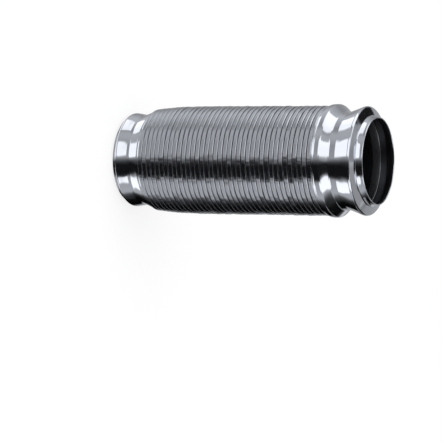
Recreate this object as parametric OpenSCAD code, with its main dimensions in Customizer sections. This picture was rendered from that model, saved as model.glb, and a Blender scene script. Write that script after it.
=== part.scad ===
// Flexible metal bellows for an exhaust or duct line, stood on its narrow mouth.
// The axis is +Z and the origin is the centre of the narrow mouth's edge.
// A thin corrugated tube is held between two roll-formed cuffs, round a wound liner.

/* [Mouths] */
// Outside diameter of the pipe that slides into either mouth; every other diameter follows it
pipe_d = 101.6; // [76.2:0.1:152.4]
// Gap all round between that pipe and a mouth
pipe_gap = 0.5; // [0.3:0.1:1]
// Thickness of the cuffs' sheet
cuff_wall = 1.5; // [1:0.1:1.8]
// Angle to which each lip flares before its wall, in degrees
lip_flare = 20; // [12:1:28]
// Angle of the wall between lip and bead, in degrees
wall_lean = 70; // [60:1:80]

/* [Bellows] */
// Depth of the folds, from the crests to the bottom of the grooves
fold_depth = 9.1; // [7:0.1:11]
// Number of convolutions
convolutions = 38; // [20:1:50]
// Distance from one crest to the next
pitch = 6.08; // [5.4:0.02:7]
// Gap between neighbouring crests, outside
fold_gap = 0.56; // [0.4:0.02:1]
// Radius of the two corners of each broad crest, outside
crest_corner_r = 1; // [0.9:0.1:1.6]
// Slope of a crest's gently domed top beside its corners, in degrees
crest_dome = 2.5; // [2:0.5:10]
// Thickness of the corrugated sheet
bellows_wall = 0.6; // [0.4:0.05:0.8]
// Number of lower convolutions that lead in at the narrow end
lead_count = 9; // [0:1:14]
// How much smaller in radius the first of them would be at the cuff
lead_drop = 3.2; // [0:0.1:4]

/* [Wide cuff] */
// Length of the wide cuff from its mouth to its skirt's edge
wide_len = 59.6; // [52:0.2:70]
// Straight length of its mouth lip
wide_lip_len = 2.5; // [2:0.1:5]
// Radius on which the lip starts to flare, outside
wide_flare_r = 13; // [8:0.5:18]
// Radius of the corner between lip and bead wall, outside
wide_foot_r = 2.2; // [2:0.1:3]
// Radius of the bead's round edge, outside
wide_bead_bend_r = 2.6; // [2:0.1:6]
// Height of the clamp seat over the lip, in radius
wide_neck_rise = 6.4; // [5:0.1:8]
// Height of the bead over the clamp seat, in radius
wide_bead_rise = 6.4; // [5:0.1:8]
// Length of the straight clamp seat in the neck
wide_seat_len = 6.4; // [4:0.1:7]
// Distance from the skirt's edge to the seat
wide_seat_from_edge = 20.2; // [19:0.1:24]
// How far the rounded skirt stands out over the crests, in radius
wide_skirt_over = 1.7; // [1:0.1:3]
// Straight length of the skirt at its fullest
wide_skirt_land = 4; // [0.5:0.1:5]
// Distance from the skirt's edge to that length
wide_skirt_roll = 5; // [3:0.1:6]
// How far the skirt's edge turns in, in radius
wide_turn_in = 1.3; // [0.6:0.1:2]
// Radii of the bends at the skirt and bead, and at the clamp seat between them
wide_rise_bend_r = 3; // [2:0.5:5]
wide_seat_bend_r = 2.5; // [2:0.5:4]

/* [Narrow cuff] */
// Length of the narrow cuff from its mouth to its skirt's edge
narrow_len = 39.5; // [36:0.1:46]
// Straight length of its mouth lip
narrow_lip_len = 2.2; // [1.8:0.1:3]
// Radius on which the lip starts to flare, outside
narrow_flare_r = 2.8; // [2:0.1:4]
// Radius of the corner between lip and bead wall, outside
narrow_foot_r = 1; // [0.8:0.1:1.2]
// Radius of the bead's round edge, outside
narrow_bead_bend_r = 3.2; // [2.4:0.1:3.4]
// Height of the clamp seat over the lip, in radius
narrow_neck_rise = 3.2; // [2.8:0.1:4.5]
// Height of the bead over the clamp seat, in radius
narrow_bead_rise = 2; // [1.8:0.1:4]
// Length of the straight clamp seat in the neck
narrow_seat_len = 2.6; // [2:0.1:5]
// Distance from the skirt's edge to the seat
narrow_seat_from_edge = 16.1; // [14:0.1:18]
// How far the rounded skirt stays under the first crest, in radius
narrow_skirt_under = 3; // [1.5:0.1:4]
// Straight length of the skirt at its fullest
narrow_skirt_land = 0.6; // [0.5:0.1:2]
// Distance from the skirt's edge to that length
narrow_skirt_roll = 2.4; // [1.6:0.1:3]
// How far the skirt's edge turns in, in radius
narrow_turn_in = 0.4; // [0.2:0.1:0.8]
// Radii of the bends at the skirt and bead, and at the clamp seat between them
narrow_rise_bend_r = 4; // [3:0.5:5]
narrow_seat_bend_r = 3.5; // [3:0.5:4.5]

/* [Liner] */
// Thickness of the liner's strip
liner_wall = 0.9; // [0.6:0.1:1.1]
// Depth of the step between its raised and lowered bands
liner_step = 1.3; // [0.8:0.1:1.6]
// Width of one turn of strip
liner_turn = 10; // [8:0.5:14]
// Thickness of the two rings that hold the liner
ring_wall = 1.2; // [0.8:0.1:1.4]
// Length of ring that laps over each end of the liner
ring_lap = 10; // [6:0.5:14]
// Height of the stop inside the narrow ring, in radius
ring_stop = 1.6; // [1:0.1:2]
// How far the wide ring's rim stands above the clamp seat, into the bead
ring_reach = 13.9; // [4:0.1:16]

/* [Fits] */
// Radial gap at each welded lap, filled by the weld on the real thing
lap_gap = 0.3; // [0.2:0.05:0.4]

/* [Hidden] */
$fn = 96;
// Share of the wide clamp seat that the bellows' end reaches up, and where its ring starts to widen over the folds
COLLAR_SHARE = 0.75;
FUNNEL_OVER_FOLDS = 1;
// Length of a step between the liner's bands, for each millimetre of its depth, and the plain share of its last turn
STEP_LENGTH = 1.2;
PLAIN_SHARE = 1 / 3;
// Chords in each bend of the cuffs and rings, and of the thinner sheets
BEND_STEPS = 7;
FLARE_STEPS = 3;
FOLD_STEPS = 4;
DOME_STEPS = 2;
STEP_STEPS = 2;

// Diameters, from the pipe outwards
mouth_r = pipe_d / 2 + pipe_gap;
lip_r = mouth_r + cuff_wall;
wide_seat_r = lip_r + wide_neck_rise;
narrow_seat_r = lip_r + narrow_neck_rise;
root_r = wide_seat_r - cuff_wall - lap_gap;
body_r = root_r + fold_depth;
wide_skirt_r = body_r + wide_skirt_over;
narrow_skirt_r = body_r - lead_drop - narrow_skirt_under;

// Heights
live_len = convolutions * pitch;
live_from = narrow_len;
live_to = live_from + live_len;
total_len = live_to + wide_len;
wide_seat_from = wide_len - wide_seat_from_edge - wide_seat_len;
narrow_seat_from = narrow_len - narrow_seat_from_edge - narrow_seat_len;

// Middle line of the corrugated sheet: groove bends, crest corners and the dome between two corners
root_mid = root_r - bellows_wall / 2;
root_bend = (fold_gap + bellows_wall) / 2;
corner_bend = crest_corner_r - bellows_wall / 2;
crest_half = pitch / 2 - root_bend;
dome_bend = (crest_half - corner_bend * (1 - sin(crest_dome))) / sin(crest_dome);
corner_drop = corner_bend * cos(crest_dome) + dome_bend * (1 - cos(crest_dome));
narrow_collar_mid = narrow_seat_r - cuff_wall - lap_gap - bellows_wall / 2;

// Rings inside the bellows' straight ends, and the liner inside the rings
wide_ring_r = root_r - bellows_wall - lap_gap;
narrow_ring_r = narrow_collar_mid - bellows_wall / 2 - lap_gap;
sleeve_bore_r = narrow_ring_r - ring_wall;
liner_r = sleeve_bore_r - lap_gap;
// The bellows' wide end stops in the clamp seat, and its ring goes on into the bead
collar_top = live_to + wide_seat_from_edge + COLLAR_SHARE * wide_seat_len;
ring_top = live_to + wide_seat_from_edge + wide_seat_len + ring_reach;
ring_funnel_from = live_to + FUNNEL_OVER_FOLDS;
liner_from = narrow_seat_from + ring_wall + lap_gap;
liner_to = ring_funnel_from;

// A point on a sheet is [radius, height, heading]. The heading is 0 along +Z and 90 outwards.
// Direction across the sheet at a heading, away from the axis when the heading is 0
function across(a) = [cos(a), -sin(a)];

// Bend from point p, turning from heading a0 to a1 on radius rho
function bend(p, a0, a1, rho, steps) =
    let (s = a1 > a0 ? 1 : -1, c = p + s * rho * across(a0))
    [for (i = [0:steps]) let (a = a0 + (a1 - a0) * i / steps, q = c - s * rho * across(a)) [q[0], q[1], a]];

// Two equal bends from p to q, both ends running along the axis
function reverse_curve(p, q, steps) =
    let (h = q[0] - p[0],
         w = q[1] - p[1],
         a = 2 * atan2(h, w),
         rho = w / (2 * abs(sin(a))))
    concat(bend(p, 0, a, rho, steps), bend((p + q) / 2, a, 0, rho, steps));

// From p to q, both ends running along the axis: a bend, a straight cone and a bend back
function cone_curve(p, q, rho_p, rho_q, steps) =
    let (rho = rho_p + rho_q,
         s = q[0] > p[0] ? 1 : -1,
         h = s * (q[0] - p[0]) - rho,
         w = q[1] - p[1],
         a = acos(-rho / norm([h, w])) - atan2(w, h),
         out = bend(p, 0, s * a, rho_p, steps),
         back = bend(q, 0, s * a, -rho_q, steps))
    concat(out, [for (i = [0:steps]) back[steps - i]]);

// Straight stretch along the axis at radius r
function straight(r, z0, z1) = [[r, z0, 0], [r, z1, 0]];

// Section of a sheet that follows a path, with outer and inner parts of its thickness
module sheet_section(path, outer, inner) {
    n = len(path) - 1;
    outside = [for (i = [0:n]) let (p = path[i]) [p[0], p[1]] + outer * across(p[2])];
    inside = [for (i = [0:n]) let (p = path[n - i]) [p[0], p[1]] - inner * across(p[2])];
    polygon(concat(outside, inside));
}

module sheet_of_revolution(path, outer, inner) {
    rotate_extrude()
        sheet_section(path, outer, inner);
}

// Outer surface of a cuff's mouth, from height 0 to the top of its bead:
// a straight lip that flares into a leaning wall, and the bead's round edge
function mouth_path(lip_len, flare_r, foot_r, bead_r, bead_bend_r) =
    let (flare = bend([lip_r, lip_len], 0, lip_flare, flare_r, FLARE_STEPS),
         f = flare[FLARE_STEPS],
         foot = bend([f[0], f[1]], lip_flare, wall_lean, foot_r, BEND_STEPS),
         g = foot[BEND_STEPS],
         edge_r = bead_r - bead_bend_r * (1 - cos(wall_lean)),
         edge_z = g[1] + (edge_r - g[0]) / tan(wall_lean))
    concat(
        [[lip_r, 0, 0]],
        flare,
        foot,
        bend([edge_r, edge_z], wall_lean, 0, bead_bend_r, BEND_STEPS)
    );

// The rest of the cuff, up to its skirt's edge: neck with a straight clamp seat,
// and a rounded skirt whose edge turns in
function neck_path(bead, seat_r, seat_from, seat_len, skirt_r, skirt_land, skirt_to, turn_in, length, rise_r, seat_bend_r) =
    concat(
        cone_curve([bead[0], bead[1]], [seat_r, seat_from], rise_r, seat_bend_r, BEND_STEPS),
        cone_curve([seat_r, seat_from + seat_len], [skirt_r, skirt_to - skirt_land], seat_bend_r, rise_r, BEND_STEPS),
        reverse_curve([skirt_r, skirt_to], [skirt_r - turn_in, length], FLARE_STEPS)
    );

module narrow_cuff() {
    mouth = mouth_path(narrow_lip_len, narrow_flare_r, narrow_foot_r,
                       narrow_seat_r + narrow_bead_rise, narrow_bead_bend_r);
    neck = neck_path(mouth[len(mouth) - 1], narrow_seat_r, narrow_seat_from, narrow_seat_len,
                     narrow_skirt_r, narrow_skirt_land, narrow_len - narrow_skirt_roll,
                     narrow_turn_in, narrow_len, narrow_rise_bend_r, narrow_seat_bend_r);
    color("gainsboro")
        sheet_of_revolution(concat(mouth, neck), 0, cuff_wall);
}

module wide_cuff() {
    mouth = mouth_path(wide_lip_len, wide_flare_r, wide_foot_r,
                       wide_seat_r + wide_bead_rise, wide_bead_bend_r);
    neck = neck_path(mouth[len(mouth) - 1], wide_seat_r, wide_seat_from, wide_seat_len,
                     wide_skirt_r, wide_skirt_land, wide_len - wide_skirt_roll,
                     wide_turn_in, wide_len, wide_rise_bend_r, wide_seat_bend_r);
    color("gainsboro")
        translate([0, 0, total_len])
            mirror([0, 0, 1])
                sheet_of_revolution(concat(mouth, neck), 0, cuff_wall);
}

// Radius of the middle line at the crest of convolution i, counted from the narrow end
function crest_mid(i) =
    body_r - bellows_wall / 2 - (i < lead_count ? lead_drop * pow((lead_count - i) / lead_count, 2) : 0);

// One convolution: out of the groove, round a corner, over the domed crest, and the same back
function convolution(i) =
    let (from = live_from + i * pitch,
         corner_r = crest_mid(i) - corner_drop,
         corner = bend([corner_r, from + root_bend], 90, crest_dome, corner_bend, FOLD_STEPS),
         dome = bend([corner[FOLD_STEPS][0], corner[FOLD_STEPS][1]], crest_dome, -crest_dome, dome_bend, DOME_STEPS))
    concat(
        bend([root_mid, from], 0, 90, root_bend, FOLD_STEPS),
        corner,
        dome,
        bend([dome[DOME_STEPS][0], dome[DOME_STEPS][1]], -crest_dome, -90, corner_bend, FOLD_STEPS),
        bend([root_mid + root_bend, from + pitch - root_bend], -90, 0, root_bend, FOLD_STEPS)
    );

module bellows() {
    folds = [for (i = [0:convolutions - 1]) each convolution(i)];
    path = concat(
        straight(narrow_collar_mid, narrow_seat_from, narrow_seat_from + narrow_seat_len),
        reverse_curve([narrow_collar_mid, narrow_seat_from + narrow_seat_len], [root_mid, live_from], BEND_STEPS),
        folds,
        straight(root_mid, live_to, collar_top)
    );
    color("silver")
        sheet_of_revolution(path, bellows_wall / 2, bellows_wall / 2);
}

// One turn of the liner: raised band, step in, lowered band, step out
function liner_band(z, turn) =
    let (high = liner_r - liner_wall / 2,
         low = high - liner_step,
         step_len = STEP_LENGTH * liner_step,
         band = turn / 2 - step_len)
    concat(
        reverse_curve([high, z + band], [low, z + band + step_len], STEP_STEPS),
        reverse_curve([low, z + 2 * band + step_len], [high, z + turn], STEP_STEPS)
    );

module liner() {
    // A whole number of turns fills the length, each close to the set width
    turns = round((liner_to - liner_from) / liner_turn);
    turn = (liner_to - liner_from - PLAIN_SHARE * liner_turn) / turns;
    bands = [for (i = [0:turns - 1]) each liner_band(liner_from + i * turn, turn)];
    path = concat(
        [[liner_r - liner_wall / 2, liner_from, 0]],
        bands,
        [[liner_r - liner_wall / 2, liner_to, 0]]
    );
    color("darkgray")
        sheet_of_revolution(path, liner_wall / 2, liner_wall / 2);
}

// Plain sleeve in the narrow neck, with a stop for the liner's end
module narrow_liner_ring() {
    color("darkgray") {
        rotate_extrude()
            polygon([
                [narrow_ring_r, narrow_seat_from],
                [narrow_ring_r, liner_from + ring_lap],
                [sleeve_bore_r, liner_from + ring_lap],
                [sleeve_bore_r, narrow_seat_from + ring_wall],
                [sleeve_bore_r - ring_stop, narrow_seat_from + ring_wall],
                [sleeve_bore_r - ring_stop, narrow_seat_from]
            ]);
    }
}

// Pressed funnel in the wide neck, narrowing to a sleeve round the liner's end
module wide_liner_ring() {
    path = concat(
        straight(sleeve_bore_r, liner_to - ring_lap, ring_funnel_from),
        reverse_curve([sleeve_bore_r, ring_funnel_from],
                      [wide_ring_r - ring_wall, live_to + wide_seat_from_edge], BEND_STEPS),
        [[wide_ring_r - ring_wall, ring_top, 0]]
    );
    color("darkgray")
        sheet_of_revolution(path, ring_wall, 0);
}

bellows();
wide_cuff();
narrow_cuff();
liner();
wide_liner_ring();
narrow_liner_ring();
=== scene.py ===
"""Flexible metal bellows: bright stainless folds between two polished cuffs, round a wound liner.

Everything is in metres in the shared frame. The axis is +Z and the narrow mouth stands on z = 0.
Each piece is one sheet carried round the axis. All but the narrow ring, which keeps its mesh from the frame,
are worked out here as grids of profile points by angles.
"""

import bpy
import numpy as np
from mathutils import Matrix, Vector


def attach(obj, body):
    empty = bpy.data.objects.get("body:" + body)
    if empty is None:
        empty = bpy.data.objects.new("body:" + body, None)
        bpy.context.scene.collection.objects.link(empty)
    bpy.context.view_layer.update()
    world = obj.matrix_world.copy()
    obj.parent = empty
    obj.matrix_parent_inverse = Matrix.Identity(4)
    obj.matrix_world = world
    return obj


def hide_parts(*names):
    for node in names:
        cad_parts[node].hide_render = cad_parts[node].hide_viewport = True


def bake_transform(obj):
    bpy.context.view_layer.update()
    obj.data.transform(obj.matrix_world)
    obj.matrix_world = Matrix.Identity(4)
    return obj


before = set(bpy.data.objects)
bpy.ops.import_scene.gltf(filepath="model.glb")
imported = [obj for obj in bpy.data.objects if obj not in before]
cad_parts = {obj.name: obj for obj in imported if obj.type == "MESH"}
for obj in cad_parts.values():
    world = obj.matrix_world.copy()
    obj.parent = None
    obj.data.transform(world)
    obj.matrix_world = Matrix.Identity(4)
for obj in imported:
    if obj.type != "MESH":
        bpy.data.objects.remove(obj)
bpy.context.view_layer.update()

MM = 0.001

# Driving sizes in millimetres and degrees, with the values of the part's source: mouths and cuffs' sheet
PIPE_D = 101.6
PIPE_GAP = 0.5
CUFF_WALL = 1.5
LIP_FLARE = 20.0
WALL_LEAN = 70.0

# Bellows
FOLDS = 38
PITCH = 6.08
FOLD_DEPTH = 9.1
FOLD_GAP = 0.56
CREST_CORNER_R = 1.0
CREST_DOME = 2.5
BELLOWS_WALL = 0.6
LEAD_COUNT = 9
LEAD_DROP = 3.2

# Wide cuff
WIDE_LEN = 59.6
WIDE_NECK_RISE = 6.4
WIDE_BEAD_RISE = 6.4
WIDE_SEAT_LEN = 6.4
WIDE_SEAT_FROM_EDGE = 20.2
WIDE_SKIRT_OVER = 1.7

# Narrow cuff
NARROW_LEN = 39.5
NARROW_NECK_RISE = 3.2
NARROW_BEAD_RISE = 2.0
NARROW_SEAT_LEN = 2.6
NARROW_SEAT_FROM_EDGE = 16.1
NARROW_SKIRT_UNDER = 3.0

# Liner and its rings
LINER_WALL = 0.9
LINER_STEP = 1.3
LINER_TURN = 10.0
RING_WALL = 1.2
RING_LAP = 10.0
RING_REACH = 13.9
FUNNEL_OVER_FOLDS = 1.0
# A step's length for each millimetre of its depth, and the share of a turn left plain at the wide end
STEP_LENGTH = 1.2
PLAIN_SHARE = 1 / 3

# Radial gap at each welded lap, and the share of the wide seat that the bellows' end reaches up
LAP_GAP = 0.3
COLLAR_SHARE = 0.75

# Radii, from the pipe outwards
LIP_R = PIPE_D / 2 + PIPE_GAP + CUFF_WALL
WIDE_SEAT_R = LIP_R + WIDE_NECK_RISE
NARROW_SEAT_R = LIP_R + NARROW_NECK_RISE
ROOT_R = WIDE_SEAT_R - CUFF_WALL - LAP_GAP
BODY_R = ROOT_R + FOLD_DEPTH
ROOT_MID = ROOT_R - BELLOWS_WALL / 2
NARROW_COLLAR_MID = NARROW_SEAT_R - CUFF_WALL - LAP_GAP - BELLOWS_WALL / 2
SLEEVE_BORE_R = NARROW_COLLAR_MID - BELLOWS_WALL / 2 - LAP_GAP - RING_WALL
LINER_R = SLEEVE_BORE_R - LAP_GAP
WIDE_RING_BORE_R = ROOT_R - BELLOWS_WALL - LAP_GAP - RING_WALL

# Heights
LIVE_FROM = NARROW_LEN
LIVE_TO = LIVE_FROM + FOLDS * PITCH
TOTAL_LEN = LIVE_TO + WIDE_LEN
NARROW_SEAT_FROM = NARROW_LEN - NARROW_SEAT_FROM_EDGE - NARROW_SEAT_LEN
WIDE_SEAT_TO = LIVE_TO + WIDE_SEAT_FROM_EDGE
COLLAR_TOP = WIDE_SEAT_TO + COLLAR_SHARE * WIDE_SEAT_LEN
RING_TOP = WIDE_SEAT_TO + WIDE_SEAT_LEN + RING_REACH
LINER_FROM = NARROW_SEAT_FROM + RING_WALL + LAP_GAP
LINER_TO = LIVE_TO + FUNNEL_OVER_FOLDS

# A sheet's cut edges are rounded by this share of its thickness, in arcs of this many chords
EDGE_ROUND = 0.35
EDGE_STEPS = 4
# Points closer than this to the one before are left out
SAME_POINT = 0.001


# Profiles: a path's points are (radius, height, heading), and the heading is 0 along +Z and 90 outwards

def across(heading):
    """Unit direction across a sheet, away from the axis where the heading along +Z is 0."""
    a = np.radians(heading)
    return np.stack([np.cos(a), -np.sin(a)], -1)


def bend(start, a0, a1, rho, steps):
    """Circular bend: centre = start +- rho * across(a0), points = centre -+ rho * across(a) for a from a0
    to a1."""
    s = 1.0 if a1 > a0 else -1.0
    a = np.linspace(a0, a1, steps + 1)
    centre = np.asarray(start, float) + s * rho * across(a0)
    return np.column_stack([centre - s * rho * across(a), a])


def reverse_curve(p, q, steps):
    """Two equal bends from p to q, both ends along the axis, turning by 2 * atan(rise / length)."""
    p = np.asarray(p, float)
    q = np.asarray(q, float)
    h, w = q - p
    a = 2 * np.degrees(np.arctan2(h, w))
    rho = w / (2 * abs(np.sin(np.radians(a))))
    return np.concatenate([bend(p, 0, a, rho, steps), bend((p + q) / 2, a, 0, rho, steps)[1:]])


def between(p, q):
    """The straight run from path point p to path point q, in three steps."""
    return np.linspace(p, q, 4)


def cone_curve(p, q, rho_p, rho_q, steps):
    """From p to q, both ends along the axis: bend, cone L long, bend back. The cone's angle a solves
    rise = rho * (1 - cos a) + L * sin a and length = rho * sin a + L * cos a, with rho = rho_p + rho_q."""
    s = np.sign(q[0] - p[0])
    rho = rho_p + rho_q
    h = s * (q[0] - p[0]) - rho
    w = q[1] - p[1]
    a = np.degrees(np.arccos(-rho / np.hypot(h, w)) - np.arctan2(w, h))
    out = bend(p, 0, s * a, rho_p, steps)
    back = bend(q, 0, s * a, -rho_q, steps)[::-1]
    return np.concatenate([out, between(out[-1], back[0])[1:-1], back])


def straight(r, z0, z1, steps):
    """Straight stretch along the axis at radius r, from z0 to z1."""
    z = np.linspace(z0, z1, steps + 1)
    return np.column_stack([np.full_like(z, r), z, np.zeros_like(z)])


def without_doubles(path):
    """The path without the points that lie on the one before."""
    step = np.hypot(*(path[1:, :2] - path[:-1, :2]).T)
    return path[np.concatenate([[True], step > SAME_POINT])]


def rounded_end(point, side, outer, inner, rho):
    """Corner arcs across a sheet's end, a quarter turn of radius rho at each corner: arc centre + rho *
    (sin t * way out + cos t * across) at the outer corner, and + rho * (cos t * way out - sin t * across) at
    the inner one."""
    u = side * np.array([np.sin(np.radians(point[2])), np.cos(np.radians(point[2]))])
    w = across(point[2])
    t = np.radians(np.linspace(0, 90, EDGE_STEPS + 1))[:, None]
    first = point[:2] - rho * u + (outer - rho) * w + rho * (np.sin(t) * u + np.cos(t) * w)
    last = point[:2] - rho * u - (inner - rho) * w + rho * (np.cos(t) * u - np.sin(t) * w)
    return np.concatenate([first, last])


def sheet_loop(path, outer, inner, inner_path=None):
    """Closed section of a sheet: the path moved outwards, a rounded end, the path moved inwards and the
    other end. Its points are (r, z, inside), and inside is 1 on the side towards the axis."""
    rho = EDGE_ROUND * (outer + inner)
    # The rounded ends need a little more room than their radius
    clear = 1.05 * rho
    path = without_doubles(path)
    inner_path = path if inner_path is None else without_doubles(inner_path)

    def kept(line):
        """The line without the points that the rounded ends take the place of."""
        from_start = np.hypot(*(line[:, :2] - line[0, :2]).T)
        from_end = np.hypot(*(line[:, :2] - line[-1, :2]).T)
        return line[(from_start > clear) & (from_end > clear)]

    out = kept(path)
    back = kept(inner_path)
    parts = [
        out[:, :2] + outer * across(out[:, 2]),
        rounded_end(path[-1], 1, outer, inner, rho),
        (back[:, :2] - inner * across(back[:, 2]))[::-1],
        rounded_end(path[0], -1, outer, inner, rho)[::-1],
    ]
    inside = np.repeat([0, 0, 1, 0], [len(part) for part in parts])
    return np.column_stack([np.concatenate(parts), inside])


# Meshes

def ring_quads(around, along):
    """Quads of a closed loop of `along` points carried round the axis in `around` steps, facing out of the
    sheet: point j at angle i joins points j and j + 1 at angle i + 1. Both counts close on themselves."""
    i, j = np.meshgrid(np.arange(around), np.arange(along), indexing="ij")
    i2 = (i + 1) % around
    j2 = (j + 1) % along
    quads = np.stack([i * along + j, i2 * along + j, i2 * along + j2, i * along + j2], -1)
    return quads.reshape(-1, 4)


def turned(loop, around, shift=None):
    """Loop points (r, z) at `around` angles t: x = r cos t, y = r sin t. shift(t) adds to every r and z."""
    t = np.linspace(0, 2 * np.pi, around, endpoint=False)[:, None]
    r = loop[None, :, 0] + 0 * t
    z = loop[None, :, 1] + 0 * t
    if shift:
        dr, dz = shift(t)
        r = r + dr
        z = z + dz
    return np.stack([r * np.cos(t), r * np.sin(t), z], -1).reshape(-1, 3)


def sheet_piece(name, loop, around, body, outside_material, inside_material=None, shift=None,
                marks=None):
    """A closed section turned round the axis into an object at the origin, shaded smooth, that rides on the
    body if one is given. marks are named values for each point of the section, which its material reads."""
    faces = ring_quads(around, len(loop))
    mesh = bpy.data.meshes.new(name)
    mesh.from_pydata(turned(loop, around, shift) * MM, [], faces.tolist())
    mesh.polygons.foreach_set("use_smooth", np.ones(len(faces), bool))
    mesh.materials.append(outside_material)
    if inside_material:
        mesh.materials.append(inside_material)
        inside = np.tile(loop[:, 2] > 0, around)
        mesh.polygons.foreach_set("material_index", inside[faces].all(1).astype(np.int32))
    for mark, values in (marks or {}).items():
        mesh.attributes.new(mark, "FLOAT", "POINT").data.foreach_set("value", np.tile(values, around))
    mesh.update()
    piece = bpy.data.objects.new(name, mesh)
    bpy.context.scene.collection.objects.link(piece)
    if body:
        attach(piece, body)
    return piece


# Materials

def linear(hex_colour):
    """sRGB hex to linear RGBA: c / 12.92 below 0.04045, otherwise ((c + 0.055) / 1.055) ** 2.4."""
    c = np.array([int(hex_colour[i:i + 2], 16) for i in (1, 3, 5)]) / 255
    lin = np.where(c <= 0.04045, c / 12.92, ((c + 0.055) / 1.055) ** 2.4)
    return (*lin.tolist(), 1.0)


def add(tree, kind, inputs=(), **settings):
    """Adds a node with its settings. Each input is named or numbered, and is a value or another's socket."""
    made = tree.nodes.new(kind)
    for key, value in settings.items():
        setattr(made, key, value)
    for key, value in dict(inputs).items():
        if isinstance(value, bpy.types.NodeSocket):
            tree.links.new(value, made.inputs[key])
        else:
            made.inputs[key].default_value = value
    return made


# Where a Mix node of colours has its two inputs and its result
MIX_A = 6
MIX_B = 7
MIX_RESULT = 2


def metal(name, base, roughness):
    """A metal with its Principled shader, ready for the patterns of its finish."""
    material = bpy.data.materials.new(name)
    material.use_nodes = True
    tree = material.node_tree
    shader = tree.nodes["Principled BSDF"]
    shader.inputs["Base Color"].default_value = linear(base)
    shader.inputs["Metallic"].default_value = 1.0
    shader.inputs["Roughness"].default_value = roughness
    where = add(tree, "ShaderNodeTexCoord").outputs["Object"]
    return material, tree, shader, where


def emboss(tree, shader, where, size_mm, detail, strength, depth_mm):
    """Uneven surface: noise with features of about size_mm, as a bump of depth_mm."""
    noise = add(tree, "ShaderNodeTexNoise", {"Vector": where, "Scale": 1 / (size_mm * MM), "Detail": detail})
    bump = add(tree, "ShaderNodeBump",
               {"Height": noise.outputs["Fac"], "Strength": strength, "Distance": depth_mm * MM})
    tree.links.new(bump.outputs["Normal"], shader.inputs["Normal"])


def mirror_polished_roll_formed_stainless():
    """Stainless sheet rolled to shape and buffed: sharp reflections that waver where the rollers left the
    sheet uneven."""
    material, tree, shader, where = metal("mirror_polished_roll_formed_stainless", "#c9ccd3", 0.09)
    # Rollers leave soft unevenness about 25 mm long
    emboss(tree, shader, where, size_mm=25, detail=1.0, strength=0.45, depth_mm=2.0)
    return material


def bright_annealed_hydroformed_stainless():
    """Thin stainless strip, bright annealed and pressed into folds: a mirror on the broad crests, gone satin
    where the corners and grooves drew the sheet and opened its grain, with painted shade darkening them
    there."""
    bright = "#c4c7ce"
    bright_roughness = 0.11
    # Painted shade: the darker colour given to the fold corners and grooves
    groove_shade_colour = "#909399"
    drawn_roughness = 0.28
    material, tree, shader, where = metal("bright_annealed_hydroformed_stainless", bright, bright_roughness)
    satin_and_shade_mask = add(tree, "ShaderNodeAttribute", attribute_name="stretch").outputs["Fac"]
    satin = add(tree, "ShaderNodeMapRange",
                {"Value": satin_and_shade_mask, "To Min": bright_roughness, "To Max": drawn_roughness})
    tree.links.new(satin.outputs[0], shader.inputs["Roughness"])
    # Painted shade: the base colour goes darker in the fold corners and grooves, where shade falls
    painted_groove_shade = add(tree, "ShaderNodeMix",
                 {"Factor": satin_and_shade_mask, MIX_A: linear(bright), MIX_B: linear(groove_shade_colour)}, data_type="RGBA")
    tree.links.new(painted_groove_shade.outputs[MIX_RESULT], shader.inputs["Base Color"])
    # Dents from the forming ring, about 6 mm long and each the full width of one fold
    at = add(tree, "ShaderNodeSeparateXYZ", {"Vector": where})
    fold = add(tree, "ShaderNodeAttribute", attribute_name="fold").outputs["Fac"]
    laid = add(tree, "ShaderNodeCombineXYZ", {"X": at.outputs["X"], "Y": at.outputs["Y"], "Z": fold})
    emboss(tree, shader, laid.outputs["Vector"], size_mm=6, detail=1.5, strength=0.5, depth_mm=0.6)
    return material


def cold_rolled_stainless_strip():
    """Cold rolled strip and pressed rings with a plain mill finish: soft, slightly grey reflections."""
    material, tree, shader, where = metal("cold_rolled_stainless_strip", "#a6a8ad", 0.34)
    # Rolling grain along the strip, really under 0.1 mm wide and drawn 0.8 mm wide so that it shows
    laid = add(tree, "ShaderNodeMapping", {"Vector": where, "Scale": (1.0, 1.0, 12.0)})
    emboss(tree, shader, laid.outputs["Vector"], size_mm=10, detail=2.0, strength=0.2, depth_mm=0.3)
    return material


def dull_inside_sheet_in_painted_shade():
    """The side that no buffing wheel reaches, left dull from rolling and welding. Its near-black colour is
    painted shade, for the shade inside the tube.
    """
    dull = 0.38
    dullest = 0.55
    # Near-black base colour: painted shade where the inside of the tube lies in shadow
    material, tree, shader, where = metal("dull_inside_sheet_in_painted_shade", "#3c3d41", dull)
    # Cloudy marks from the rolling oil and the weld's heat, about 20 mm across
    clouds = add(tree, "ShaderNodeTexNoise", {"Vector": where, "Scale": 1 / (20 * MM), "Detail": 3.0})
    dulled = add(tree, "ShaderNodeMapRange",
                 {"Value": clouds.outputs["Fac"], "To Min": dull, "To Max": dullest})
    tree.links.new(dulled.outputs[0], shader.inputs["Roughness"])
    return material


CUFF_SHEET = mirror_polished_roll_formed_stainless()
CUFF_INSIDE = dull_inside_sheet_in_painted_shade()
BELLOWS_SHEET = bright_annealed_hydroformed_stainless()
LINER_STRIP = cold_rolled_stainless_strip()


# Cuffs, with the number of chords in each bend and round the axis

CUFF_STEPS = 14
CUFF_AROUND = 256


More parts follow.
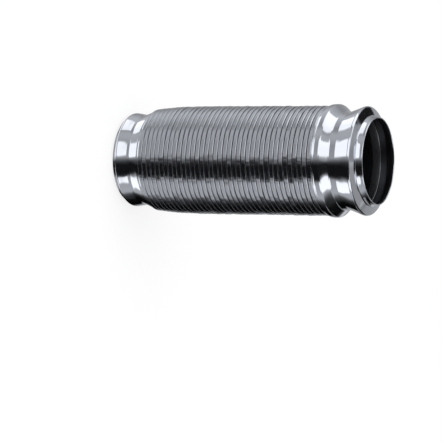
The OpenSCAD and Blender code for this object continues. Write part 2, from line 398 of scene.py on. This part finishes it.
def cuff_path(lip_len, flare_r, foot_r, bead_r, bead_bend_r, seat_r, seat_from, seat_len,
              skirt_r, skirt_land, skirt_roll, turn_in, length, rise_r, seat_bend_r):
    """Outside of a cuff, from its mouth at height 0: straight lip, flare, bend to the leaning wall, the
    bead's round edge, cone down to the straight seat, cone up to the skirt, and its edge turned in."""
    flare = bend([LIP_R, lip_len], 0, LIP_FLARE, flare_r, CUFF_STEPS)
    foot = bend(flare[-1, :2], LIP_FLARE, WALL_LEAN, foot_r, CUFF_STEPS)
    edge_r = bead_r - bead_bend_r * (1 - np.cos(np.radians(WALL_LEAN)))
    edge_z = foot[-1, 1] + (edge_r - foot[-1, 0]) / np.tan(np.radians(WALL_LEAN))
    bead = bend([edge_r, edge_z], WALL_LEAN, 0, bead_bend_r, CUFF_STEPS)
    skirt_to = length - skirt_roll
    seat_end = [seat_r, seat_from + seat_len]
    skirt = [skirt_r, skirt_to - skirt_land]
    return np.concatenate([
        straight(LIP_R, 0, lip_len, steps=2), flare, foot, between(foot[-1], bead[0]), bead,
        cone_curve(bead[-1, :2], [seat_r, seat_from], rise_r, seat_bend_r, CUFF_STEPS),
        cone_curve(seat_end, skirt, seat_bend_r, rise_r, CUFF_STEPS),
        reverse_curve([skirt_r, skirt_to], [skirt_r - turn_in, length], CUFF_STEPS),
    ])


narrow_path = cuff_path(
    lip_len=2.2, flare_r=2.8, foot_r=1.0, bead_r=NARROW_SEAT_R + NARROW_BEAD_RISE, bead_bend_r=3.2,
    seat_r=NARROW_SEAT_R, seat_from=NARROW_SEAT_FROM, seat_len=NARROW_SEAT_LEN,
    skirt_r=BODY_R - LEAD_DROP - NARROW_SKIRT_UNDER, skirt_land=0.6, skirt_roll=2.4, turn_in=0.4,
    length=NARROW_LEN, rise_r=4.0, seat_bend_r=3.5)
narrow_loop = sheet_loop(narrow_path, 0, CUFF_WALL)
narrow_cuff = sheet_piece("narrow_cuff_sheet", narrow_loop, CUFF_AROUND, "narrow_end",
                          CUFF_SHEET, CUFF_INSIDE)
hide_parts("narrow_cuff")

# The wide cuff is the same kind of path, upside down
wide_path = cuff_path(
    lip_len=2.5, flare_r=13.0, foot_r=2.2, bead_r=WIDE_SEAT_R + WIDE_BEAD_RISE, bead_bend_r=2.6,
    seat_r=WIDE_SEAT_R, seat_from=WIDE_LEN - WIDE_SEAT_FROM_EDGE - WIDE_SEAT_LEN, seat_len=WIDE_SEAT_LEN,
    skirt_r=BODY_R + WIDE_SKIRT_OVER, skirt_land=4.0, skirt_roll=5.0, turn_in=1.3,
    length=WIDE_LEN, rise_r=3.0, seat_bend_r=2.5)
wide_loop = sheet_loop(wide_path, 0, CUFF_WALL)[::-1] * [1, -1, 1] + [0, TOTAL_LEN, 0]
wide_cuff = sheet_piece("wide_cuff_sheet", wide_loop, CUFF_AROUND, "wide_end",
                        CUFF_SHEET, CUFF_INSIDE)
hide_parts("wide_cuff")


# Bellows: middle line of the sheet, with groove bends, crest corners and the dome between two corners

FOLD_AROUND = 104
ROOT_BEND = (FOLD_GAP + BELLOWS_WALL) / 2
CORNER_BEND = CREST_CORNER_R - BELLOWS_WALL / 2
DOME_SLOPE = np.radians(CREST_DOME)
DOME_BEND = (PITCH / 2 - ROOT_BEND - CORNER_BEND * (1 - np.sin(DOME_SLOPE))) / np.sin(DOME_SLOPE)
# Above 1, the chords of a crest's corner are shorter towards its dome
CORNER_CROWDING = 1.5


def crest_radius(number):
    """Outer radius of a fold's crest: the body's, less the drop * (share of the lead-in left) ** 2."""
    return BODY_R - LEAD_DROP * np.clip((LEAD_COUNT - number) / LEAD_COUNT, 0, 1) ** 2


def folds_path(root_steps, corner_steps, dome_steps):
    """All folds at once: quarter bend out of the groove, corner, domed crest, corner, quarter bend back."""
    number = np.arange(FOLDS)
    top = crest_radius(number) - BELLOWS_WALL / 2
    rise = np.linspace(0, 90, root_steps + 1)[:-1]
    corner = CREST_DOME + (90 - CREST_DOME) * np.linspace(1, 0, corner_steps + 1) ** CORNER_CROWDING
    dome = np.linspace(CREST_DOME, -CREST_DOME, dome_steps + 1)[1:-1]
    heading = np.concatenate([rise, corner, dome, -corner[::-1], -rise[::-1]])
    a = np.radians(heading)
    # Measured from the fold's middle and from the top of its dome
    corner_in = DOME_BEND * (1 - np.cos(DOME_SLOPE)) + CORNER_BEND * np.cos(DOME_SLOPE)
    corner_out = (DOME_BEND - CORNER_BEND) * np.sin(DOME_SLOPE)
    in_dome = np.zeros(len(heading), bool)
    in_dome[len(rise) + len(corner):][:len(dome)] = True
    in_root = np.arange(len(heading)) < root_steps
    in_root |= in_root[::-1]
    half = np.where(np.arange(len(heading)) < len(heading) / 2, -1.0, 1.0)
    crest_r = np.where(in_dome, DOME_BEND * (np.cos(a) - 1), CORNER_BEND * np.cos(a) - corner_in)
    crest_z = np.where(in_dome, -DOME_BEND * np.sin(a), half * corner_out - CORNER_BEND * np.sin(a))
    r = np.where(in_root, ROOT_MID + ROOT_BEND * (1 - np.cos(a)), top[:, None] + crest_r)
    z = np.where(in_root, half * PITCH / 2 + ROOT_BEND * np.sin(a), crest_z)
    z = LIVE_FROM + (number[:, None] + 0.5) * PITCH + z
    return np.stack([r, z, np.broadcast_to(heading, r.shape)], -1).reshape(-1, 3)


def bellows_path(root_steps, corner_steps, dome_steps):
    """Middle of the bellows' sheet: collar in the narrow neck, the folds, and collar in the wide neck."""
    collar_to = NARROW_SEAT_FROM + NARROW_SEAT_LEN
    return np.concatenate([
        straight(NARROW_COLLAR_MID, NARROW_SEAT_FROM, collar_to, steps=2),
        reverse_curve([NARROW_COLLAR_MID, collar_to], [ROOT_MID, LIVE_FROM], steps=5),
        folds_path(root_steps, corner_steps, dome_steps),
        straight(ROOT_MID, LIVE_TO, COLLAR_TOP, steps=3),
    ])


outside_path = bellows_path(root_steps=2, corner_steps=4, dome_steps=3)
# The liner hides the inside of the folds, so that side has fewer chords
inside_path = bellows_path(root_steps=1, corner_steps=1, dome_steps=2)
bellows_loop = sheet_loop(outside_path, BELLOWS_WALL / 2, BELLOWS_WALL / 2, inside_path)

# Each fold is pressed and squeezed a little differently from the next, in waves round it. How many a turn:
WAVES = np.array([2, 3, 5, 8, 12, 17])
# How far the crests are pressed in on average, in millimetres
PRESS_MEAN = 0.3
chance = np.random.default_rng(7)
fold_number = np.clip(np.floor((bellows_loop[:, 1] - LIVE_FROM) / PITCH), 0, FOLDS - 1).astype(int)
height_share = np.clip((bellows_loop[:, 0] - ROOT_R) / FOLD_DEPTH, 0, 1)
from_middle = bellows_loop[:, 1] - LIVE_FROM - (fold_number + 0.5) * PITCH


def wavy(mean_size, wave_size):
    """For every fold, a function of the angle t: own value + sum over k of size_k * cos(k * t + turn_k)."""
    mean = chance.normal(0, mean_size, FOLDS)
    sizes = chance.normal(0, 1, (FOLDS, len(WAVES))) * wave_size / np.sqrt(len(WAVES))
    turns = chance.uniform(0, 2 * np.pi, (FOLDS, len(WAVES)))
    return lambda t: mean + (sizes * np.cos(WAVES * t[..., None] + turns)).sum(-1)


# Lean and press are in millimetres, and the slope is in millimetres of radius for each along the axis
fold_lean = wavy(mean_size=0.07, wave_size=0.07)
fold_press = wavy(mean_size=0.05, wave_size=0.2)
fold_slope = wavy(mean_size=0.010, wave_size=0.012)


def fold_unevenness(t):
    """Radius and height added: share of the fold's height * (slope * distance from its middle - press), and
    the same share * lean."""
    pressed = np.clip(PRESS_MEAN + fold_press(t)[:, fold_number], 0, None)
    out = fold_slope(t)[:, fold_number] * from_middle - pressed
    return height_share * out, height_share * fold_lean(t)[:, fold_number]


# Where the forming drew the sheet, everywhere but on the crests, it goes satin and takes painted shade:
# from the first of these depths under a crest's top, in millimetres, and fully so the second further down
DRAWN_FROM = 0.04
SATIN_AND_SHADE_OVER = 0.06
under_crest = crest_radius(fold_number) - bellows_loop[:, 0]
satin_and_shade_share = np.clip((under_crest - DRAWN_FROM) / SATIN_AND_SHADE_OVER, 0, 1)
bellows_marks = {"stretch": satin_and_shade_share, "fold": fold_number}
bellows = sheet_piece("corrugated_tube", bellows_loop, FOLD_AROUND, None,
                      BELLOWS_SHEET, shift=fold_unevenness, marks=bellows_marks)
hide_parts("bellows")
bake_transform(bellows)


# Liner and its rings

LINER_AROUND = 72
LINER_STEPS = 4


def liner_path():
    """Middle of the wound strip: raised band, step in, lowered band, step out, once per turn. A whole number
    of turns fills the length, each close to the set width."""
    turns = round((LINER_TO - LINER_FROM) / LINER_TURN)
    turn = (LINER_TO - LINER_FROM - PLAIN_SHARE * LINER_TURN) / turns
    high = LINER_R - LINER_WALL / 2
    low = high - LINER_STEP
    step_len = STEP_LENGTH * LINER_STEP
    band = turn / 2 - step_len
    one = np.concatenate([
        reverse_curve([high, band], [low, band + step_len], LINER_STEPS),
        reverse_curve([low, 2 * band + step_len], [high, turn], LINER_STEPS),
    ])
    bands = one[None] + np.arange(turns)[:, None, None] * [0, turn, 0] + [0, LINER_FROM, 0]
    return np.concatenate([[[high, LINER_FROM, 0]], bands.reshape(-1, 3), [[high, LINER_TO, 0]]])


liner_loop = sheet_loop(liner_path(), LINER_WALL / 2, LINER_WALL / 2)
liner = sheet_piece("wound_liner", liner_loop, LINER_AROUND, None,
                    LINER_STRIP, CUFF_INSIDE)
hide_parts("liner")
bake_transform(liner)

wide_ring_path = np.concatenate([
    straight(SLEEVE_BORE_R, LINER_TO - RING_LAP, LINER_TO, steps=2),
    reverse_curve([SLEEVE_BORE_R, LINER_TO], [WIDE_RING_BORE_R, WIDE_SEAT_TO], CUFF_STEPS),
    straight(WIDE_RING_BORE_R, WIDE_SEAT_TO, RING_TOP, steps=2),
])
wide_ring_loop = sheet_loop(wide_ring_path, RING_WALL, 0)
wide_ring = sheet_piece("pressed_funnel_ring", wide_ring_loop, CUFF_AROUND, "wide_end",
                        LINER_STRIP, CUFF_INSIDE)
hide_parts("wide_liner_ring")

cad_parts["narrow_liner_ring"].data.materials.clear()
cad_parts["narrow_liner_ring"].data.materials.append(LINER_STRIP)


# Studio, as (angle in degrees, light or share) pairs

# Azimuth is 0 towards the camera and grows towards -X, and elevation is the angle over the horizon
CEILING_COLOUR = (0.5, 0.5, 0.52, 1)
CEILING_SHARE = [(-90, 0), (78, 0), (86, 1), (90, 1)]
# Grey walls and black screens all round
WALL_TINT = (0.97, 0.98, 1.0)
WALL_LIGHT = [
    (-180, 0.50), (-156, 0.42), (-147, 0.0), (-114, 0.005), (-100, 0.05), (-93, 0.13), (-83, 0.58),
    (-76, 0.61), (-50, 0.52), (-45, 0.45), (-39, 0.06), (-34, 0.01), (-12, 0.01), (-5, 0.05),
    (0, 0.15), (7, 0.47), (12, 0.49), (20, 0.45), (37, 0.44), (46, 0.54), (56, 0.61), (65, 0.60),
    (75, 0.41), (83, 0.38), (89, 0.48), (95, 0.54), (108, 0.66), (122, 0.70), (134, 0.55),
    (147, 0.36), (180, 0.50),
]
# How far their azimuth is squeezed at each elevation
WALL_SHARE = [(-90, 0.72), (-50, 0.72), (-31, 1), (20, 1), (60, 0.85), (90, 0.85)]
# Each box or panel has a profile by azimuth, one by elevation, its own squeeze and its light
EVEN = [(-90, 1), (90, 1)]
BOX_LIGHT = 1.1
FRONT_UP = [(-90, 1), (-50, 1), (-36, 0), (-21, 0), (-7, 1), (70, 1), (82, 0), (90, 0)]
SOFT_BOXES = [
    # In front of the part, towards +X
    ([(-180, 0), (-69, 0), (-56, 1), (-46, 1), (-33, 0), (180, 0)], FRONT_UP,
     [(-90, 0.6), (-50, 0.6), (-31, 1), (15, 1), (50, 0.7), (90, 0.7)], BOX_LIGHT),
    # In front of the part, towards -X
    ([(-180, 0), (2, 0), (15, 1), (37, 1), (50, 0), (180, 0)], FRONT_UP,
     [(-90, 0.68), (-50, 0.68), (-31, 1), (10, 1), (45, 0.7), (90, 0.7)], BOX_LIGHT),
    # Beside the part, towards -X, and hung a little lower
    ([(-180, 0), (67, 0), (80, 1), (108, 1), (121, 0), (180, 0)],
     [(-90, 1), (-43, 1), (-33, 0), (-23, 0), (-13, 1), (70, 1), (82, 0), (90, 0)],
     [(-90, 0.78), (-45, 0.78), (-31, 1), (20, 1), (45, 0.85), (90, 0.85)], BOX_LIGHT),
    # The white table's glow, a low strip towards +X and behind
    ([(-180, 0), (-168, 0), (-158, 1), (-108, 1), (-98, 0), (180, 0)],
     [(-90, 0), (-16, 0), (-8, 1), (0, 1), (8, 0), (90, 0)], EVEN, 0.32),
    # A pale wall behind the part, towards +X
    ([(-180, 1), (-150, 1), (-138, 0), (180, 0)],
     [(-90, 0), (26, 0), (38, 1), (66, 1), (74, 0), (90, 0)], EVEN, 0.42),
]
# A black flag hangs behind the part, towards -X and above the horizon
FLAG_AROUND = [(-180, 0), (142, 0), (153, 1), (168, 1), (178, 0), (180, 0)]
FLAG_UP = [(-90, 0), (7, 0), (17, 1), (38, 1), (48, 0), (90, 0)]
FLAG_LIGHT = 0.03
# Where the product of a panel's two soft profiles starts to count, and where it counts fully
EDGE_FROM = 0.38
EDGE_TO = 0.62


def studio_world():
    """White all round, but reflections see soft boxes and black screens under an even grey ceiling."""
    world = bpy.data.worlds.new("studio")
    bpy.context.scene.world = world
    world.use_nodes = True
    tree = world.node_tree
    tree.nodes.clear()

    looking = add(tree, "ShaderNodeTexCoord").outputs["Generated"]
    way = add(tree, "ShaderNodeSeparateXYZ", {"Vector": looking})
    left = add(tree, "ShaderNodeMath", {0: way.outputs["X"], 1: -1.0}, operation="MULTIPLY")
    front = add(tree, "ShaderNodeMath", {0: way.outputs["Y"], 1: -1.0}, operation="MULTIPLY")
    azimuth = add(tree, "ShaderNodeMath", {0: left.outputs[0], 1: front.outputs[0]}, operation="ARCTAN2")
    elevation = add(tree, "ShaderNodeMath", {0: way.outputs["Z"]}, operation="ARCSINE").outputs[0]

    def ramp(angle, half_range, stops, tint=(1.0, 1.0, 1.0)):
        """Light by angle in degrees, from (angle, light) pairs, with straight runs between them."""
        share = add(tree, "ShaderNodeMapRange", {"Value": angle, "From Min": -np.radians(half_range),
                                                 "From Max": np.radians(half_range)})
        made = add(tree, "ShaderNodeValToRGB", {"Fac": share.outputs[0]})
        stop_list = made.color_ramp.elements
        while len(stop_list) < len(stops):
            stop_list.new(0.5)
        for stop, (degrees, light) in zip(stop_list, stops):
            stop.position = (degrees + half_range) / (2 * half_range)
            stop.color = (light * tint[0], light * tint[1], light * tint[2], 1)
        return made.outputs["Color"]

    def squeezed(share):
        """Azimuth times a share that falls away from the horizon, where flat panels take up wider angles."""
        return add(tree, "ShaderNodeMath", {0: ramp(elevation, 90, share), 1: azimuth.outputs[0]},
                   operation="MULTIPLY").outputs[0]

    def cut_out(around, up, share, low, high):
        """A panel with soft edges and round corners: the product of its two soft profiles, from low to high
        where that passes its middle."""
        by_azimuth = ramp(squeezed(share), 180, around)
        both = add(tree, "ShaderNodeMath", {0: by_azimuth, 1: ramp(elevation, 90, up)}, operation="MULTIPLY")
        cut = add(tree, "ShaderNodeMapRange", {"Value": both.outputs[0], "From Min": EDGE_FROM,
                                               "From Max": EDGE_TO, "To Min": low, "To Max": high})
        return cut.outputs[0]

    sides = ramp(squeezed(WALL_SHARE), 180, WALL_LIGHT, WALL_TINT)
    for around, up, share, light in SOFT_BOXES:
        panel = cut_out(around, up, share, 0.0, light)
        sides = add(tree, "ShaderNodeVectorMath", {0: sides, 1: panel}, operation="ADD").outputs[0]
    shade = cut_out(FLAG_AROUND, FLAG_UP, EVEN, 1.0, FLAG_LIGHT)
    sides = add(tree, "ShaderNodeVectorMath", {0: sides, 1: shade}, operation="MULTIPLY").outputs[0]
    ceiling = ramp(elevation, 90, CEILING_SHARE)
    seen = add(tree, "ShaderNodeMix", {"Factor": ceiling, MIX_A: sides, MIX_B: CEILING_COLOUR},
               data_type="RGBA")
    reflected = add(tree, "ShaderNodeBackground", {"Color": seen.outputs[MIX_RESULT], "Strength": 1.0})
    plain = add(tree, "ShaderNodeBackground", {"Color": (1, 1, 1, 1), "Strength": 1.0})
    glossy = add(tree, "ShaderNodeLightPath").outputs["Is Glossy Ray"]
    mixed = add(tree, "ShaderNodeMixShader", {0: glossy, 1: plain.outputs[0], 2: reflected.outputs[0]})
    add(tree, "ShaderNodeOutputWorld", {"Surface": mixed.outputs[0]})


studio_world()


def pale_floor():
    """A white floor that keeps a soft shadow: to the camera three quarters plain white, the rest paper."""
    reach = 30.0
    plain_share = 0.75
    material = bpy.data.materials.new("white_paper_floor")
    material.use_nodes = True
    tree = material.node_tree
    tree.nodes.clear()
    paper = add(tree, "ShaderNodeBsdfDiffuse", {"Color": (0.9, 0.9, 0.9, 1)})
    white = add(tree, "ShaderNodeEmission", {"Color": (1, 1, 1, 1), "Strength": 1.0})
    ray = add(tree, "ShaderNodeLightPath")
    share = add(tree, "ShaderNodeMath", {0: ray.outputs["Is Camera Ray"], 1: plain_share},
                operation="MULTIPLY")
    mixed = add(tree, "ShaderNodeMixShader", {0: share.outputs[0], 1: paper.outputs[0], 2: white.outputs[0]})
    add(tree, "ShaderNodeOutputMaterial", {"Surface": mixed.outputs[0]})
    corners = [(-reach, -reach, 0), (reach, -reach, 0), (reach, reach, 0), (-reach, reach, 0)]
    mesh = bpy.data.meshes.new("floor")
    mesh.from_pydata(corners, [], [(0, 1, 2, 3)])
    mesh.materials.append(material)
    floor = bpy.data.objects.new("floor", mesh)
    bpy.context.scene.collection.objects.link(floor)
    # The boxes and screens stand round the table's edge, so reflections pass the floor and see them
    floor.visible_glossy = False


pale_floor()


def soft_box_above():
    """One large soft lamp overhead, for the shadow under the part."""
    lamp = bpy.data.lights.new("soft_box_above", "AREA")
    lamp.shape = "RECTANGLE"
    lamp.size = 1.5
    lamp.size_y = 1.5
    lamp.energy = 12.0
    made = bpy.data.objects.new("soft_box_above", lamp)
    bpy.context.scene.collection.objects.link(made)
    made.location = (-0.6, -0.5, 1.6)
    aim = Vector((0, 0, 0.1))
    made.rotation_euler = (aim - made.location).to_track_quat("-Z", "Y").to_euler()
    made.visible_glossy = False


soft_box_above()


def photo_camera():
    """Camera in front of the part and above it, turned so that +Z runs to the picture's right."""
    elevation = np.radians(24.65)
    picture_turn = np.radians(0.33)
    distance = 2.9925
    focal_px = 2448.0
    picture_px = 442
    data = bpy.data.cameras.new("camera")
    data.sensor_width = 36.0
    data.lens = focal_px / picture_px * data.sensor_width
    data.clip_start = 0.1
    data.clip_end = 100.0
    camera = bpy.data.objects.new("camera", data)
    bpy.context.scene.collection.objects.link(camera)
    aim = Vector((0, 0, 0.1555))
    back = Vector((0, -np.cos(elevation), np.sin(elevation)))
    right = Vector((0, np.sin(elevation), np.cos(elevation)))
    turn = Matrix((right, Vector((-1, 0, 0)), back)).transposed().to_4x4()
    # The aim point stands this many pixels right of the picture's centre and above it
    aim_right_px = 24.0
    aim_up_px = 60.8
    yaw = Matrix.Rotation(np.arctan(aim_right_px / focal_px), 4, "Y")
    dip = Matrix.Rotation(-np.arctan(aim_up_px / focal_px), 4, "X")
    roll = Matrix.Rotation(picture_turn, 4, "Z")
    camera.matrix_world = Matrix.Translation(aim + distance * back) @ turn @ yaw @ dip @ roll
    bpy.context.scene.camera = camera


photo_camera()
bpy.context.scene.view_settings.view_transform = "Standard"
